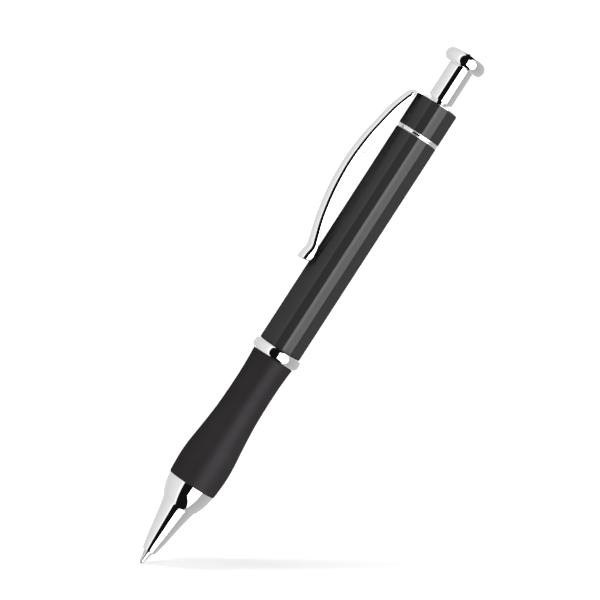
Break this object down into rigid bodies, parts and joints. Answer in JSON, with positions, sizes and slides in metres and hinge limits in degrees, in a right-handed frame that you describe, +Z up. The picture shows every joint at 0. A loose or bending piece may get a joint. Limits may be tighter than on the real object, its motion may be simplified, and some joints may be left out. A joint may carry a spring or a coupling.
{
  "type": "retractable ballpoint pen",
  "caption": "Slim click pen with a black lacquered barrel, chrome clip and trim, a waisted rubber grip and a sprung refill that retracts behind the nose cone.",
  "frame": {"origin": "lowest point of the writing ball, on the pen's axis, with the tip out", "axes": "+Z up the pen's axis towards the button; -X towards the pocket clip; +Y completes the right-handed frame"},
  "size_m": [0.0182, 0.0124, 0.1398],
  "materials": {
    "chrome": "bright plated",
    "lacquer": "gloss black lacquer",
    "grip_rubber": "matte black",
    "cam_plastic": "satin",
    "housing_plastic": "satin",
    "core_plastic": "satin",
    "brass": "turned",
    "spring_steel": "drawn wire",
    "refill_metal": "drawn tube",
    "tip_metal": "turned",
    "ball_metal": "ground",
    "ink": "wet ink",
    "grease": "clear grease"
  },
  "bodies": {
    "case": {"barrel": "lacquer", "cap_sleeve": "lacquer", "trim_ring": "chrome", "cam_housing": "housing_plastic", "top_cap": "chrome", "clip_collar": "chrome", "thread_insert": "brass"},
    "clip": {"clip_arm": "chrome"},
    "plunger": {"button_head": "chrome", "button_stem": "chrome", "thrust_cam": "cam_plastic"},
    "rotor": {"rotor_cam": "cam_plastic"},
    "refill": {"refill_tube": "refill_metal", "refill_neck": "housing_plastic", "refill_tip": "tip_metal", "refill_plug": "housing_plastic", "ink_column": "ink", "ink_follower": "grease"},
    "ball": {"writing_ball": "ball_metal"},
    "ring": {"center_ring": "chrome"},
    "section": {"grip_core": "core_plastic", "rubber_grip": "grip_rubber", "nose_cone": "chrome", "return_spring": "spring_steel"}
  },
  "joints": [
    {"name": "plunger_press", "type": "slide", "parent": "case", "child": "plunger", "axis": [0, 0, 1], "range_m": [0, 0.006], "stiffness_N_per_m": 150, "springref_m": 0.012},
    {"name": "refill_slide", "type": "slide", "parent": "case", "child": "refill", "axis": [0, 0, 1], "range_m": [0, 0.006], "deforming": ["return_spring"]},
    {"name": "rotor_turn", "type": "hinge", "parent": "plunger", "child": "rotor", "pos_m": [0, 0, 0.107], "axis": [0, 0, 1], "continuous": true},
    {"name": "ball_roll", "type": "hinge", "parent": "refill", "child": "ball", "pos_m": [0, 0, 0.00045], "axis": [1, 0, 0], "continuous": true},
    {"name": "clip_flex", "type": "hinge", "parent": "case", "child": "clip", "pos_m": [-0.00575, 0, 0.12625], "axis": [0, 1, 0], "range_deg": [0, 4], "stiffness_Nm_per_rad": 1.2},
    {"name": "ring_slide", "type": "slide", "parent": "case", "child": "ring", "axis": [0, 0, -1], "range_m": [0, 0.004]},
    {"name": "section_turn", "type": "hinge", "parent": "ring", "child": "section", "pos_m": [0, 0, 0.0577], "axis": [0, 0, -1], "range_deg": [0, 1440]}
  ],
  "couplings": [
    {"joint": "refill_slide", "follows": "plunger_press", "ratio": 1},
    {"joint": "ring_slide", "follows": "section_turn", "m_per_rad": 0.00015915}
  ]
}
